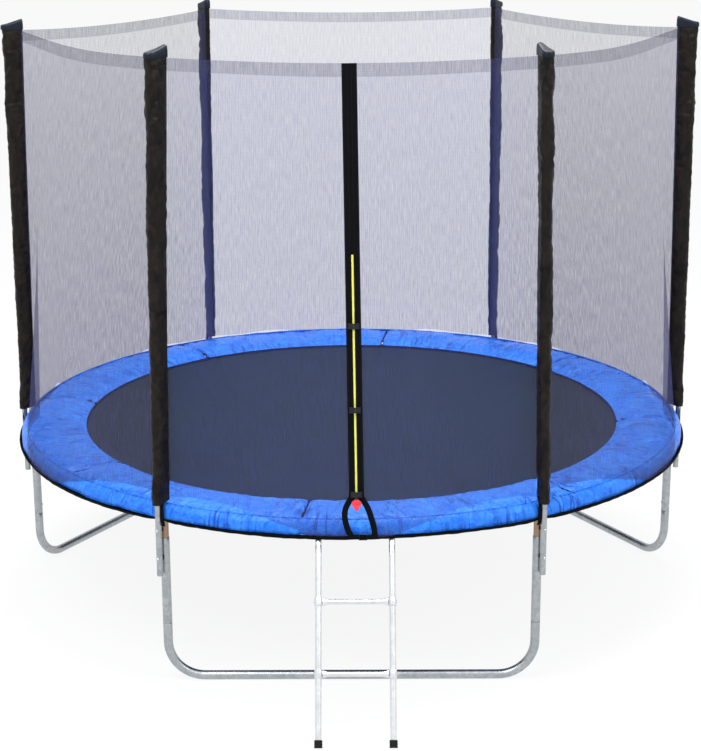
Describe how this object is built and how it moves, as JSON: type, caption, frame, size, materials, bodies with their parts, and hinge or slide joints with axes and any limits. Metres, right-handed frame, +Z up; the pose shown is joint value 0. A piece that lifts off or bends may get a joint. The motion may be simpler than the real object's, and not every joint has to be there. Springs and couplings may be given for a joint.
{
  "type": "trampoline",
  "caption": "Round garden trampoline on three U-shaped leg bases, with a sprung mat, a padded rim, a pole and net enclosure with a zipped door, and a hook-on ladder.",
  "frame": {"origin": "on the ground under the middle of the ring", "axes": "+Z up, -Y towards the net door and the ladder, +X to the right of someone who faces the door"},
  "size_m": [3.1522, 3.4767, 2.567],
  "materials": {
    "galvanised_tube": "hot-dip galvanised tube, pale grey, satin",
    "plated_steel": "zinc plated",
    "sleeve_pvc": "black coated cloth over foam",
    "black_plastic": "moulded",
    "black_webbing": "woven tape",
    "net_mesh": "fine knitted mesh",
    "woven_mat": "close woven, dull",
    "blue_pvc": "coated cloth, glossy",
    "yellow_coil": "moulded coil",
    "black_metal": "enamelled",
    "red_tab": "woven tab",
    "black_rubber": "moulded"
  },
  "bodies": {
    "frame": {"top_rail_1": "galvanised_tube", "leg_upright_1": "galvanised_tube", "pole_1": "galvanised_tube", "pole_sleeve_1": "sleeve_pvc", "net_panel_1": "net_mesh", "top_rail_2": "galvanised_tube", "leg_upright_2": "galvanised_tube", "pole_2": "galvanised_tube", "pole_sleeve_2": "sleeve_pvc", "net_panel_2": "net_mesh", "top_rail_3": "galvanised_tube", "leg_upright_3": "galvanised_tube", "pole_3": "galvanised_tube", "pole_sleeve_3": "sleeve_pvc", "net_panel_3": "net_mesh", "top_rail_4": "galvanised_tube", "leg_upright_4": "galvanised_tube", "pole_4": "galvanised_tube", "pole_sleeve_4": "sleeve_pvc", "net_panel_4": "net_mesh", "top_rail_5": "galvanised_tube", "leg_upright_5": "galvanised_tube", "pole_5": "galvanised_tube", "pole_sleeve_5": "sleeve_pvc", "net_panel_5": "net_mesh", "top_rail_6": "galvanised_tube", "leg_upright_6": "galvanised_tube", "pole_6": "galvanised_tube", "pole_sleeve_6": "sleeve_pvc", "net_panel_6": "net_mesh", "leg_base_front": "galvanised_tube", "leg_base_left": "galvanised_tube", "leg_base_right": "galvanised_tube", "leg_screws": "plated_steel", "sleeve_caps": "black_plastic", "sleeve_straps": "black_webbing", "pole_bolts": "plated_steel", "pole_nuts": "plated_steel", "pole_spacers": "black_plastic", "springs": "plated_steel", "safety_pad": "blue_pvc", "door_binding": "black_webbing", "zip_coil": "yellow_coil", "clip_sockets": "black_plastic"},
    "mat": {"jumping_mat": "woven_mat", "mat_hem": "black_webbing", "triangle_rings": "plated_steel"},
    "ladder": {"ladder_rail_left": "galvanised_tube", "ladder_rail_right": "galvanised_tube", "ladder_rungs": "galvanised_tube", "ladder_hooks": "plated_steel", "ladder_feet": "black_rubber", "ladder_bolts": "plated_steel"},
    "slider": {"zip_slider": "black_metal"},
    "pull": {"zip_pull": "red_tab"},
    "clip_1": {"clip_hook_1": "black_plastic"},
    "clip_2": {"clip_hook_2": "black_plastic"},
    "clip_3": {"clip_hook_3": "black_plastic"}
  },
  "joints": [
    {"name": "mat_bounce", "type": "slide", "parent": "frame", "child": "mat", "axis": [0, 0, 1], "range_m": [-0.3, 0], "stiffness_N_per_m": 3000, "springref_m": 0.03, "deforming": ["springs"]},
    {"name": "ladder_swing", "type": "hinge", "parent": "frame", "child": "ladder", "pos_m": [0.0165, -1.49665, 0.741], "axis": [-1, 0, 0], "range_deg": [0, 35]},
    {"name": "zip_slide", "type": "slide", "parent": "frame", "child": "slider", "axis": [-0.0134, 0.1465, 0.9891], "range_m": [0, 0.93]},
    {"name": "pull_swing", "type": "hinge", "parent": "slider", "child": "pull", "pos_m": [0.02229, -1.5392, 0.86883], "axis": [-0.9999, 0, -0.0135], "range_deg": [0, 120]},
    {"name": "clip_release_1", "type": "slide", "parent": "frame", "child": "clip_1", "axis": [0.9999, 0, 0.0135], "range_m": [0, 0.02]},
    {"name": "clip_release_2", "type": "slide", "parent": "frame", "child": "clip_2", "axis": [0.9999, 0, 0.0135], "range_m": [0, 0.02]},
    {"name": "clip_release_3", "type": "slide", "parent": "frame", "child": "clip_3", "axis": [0.9999, 0, 0.0135], "range_m": [0, 0.02]}
  ]
}
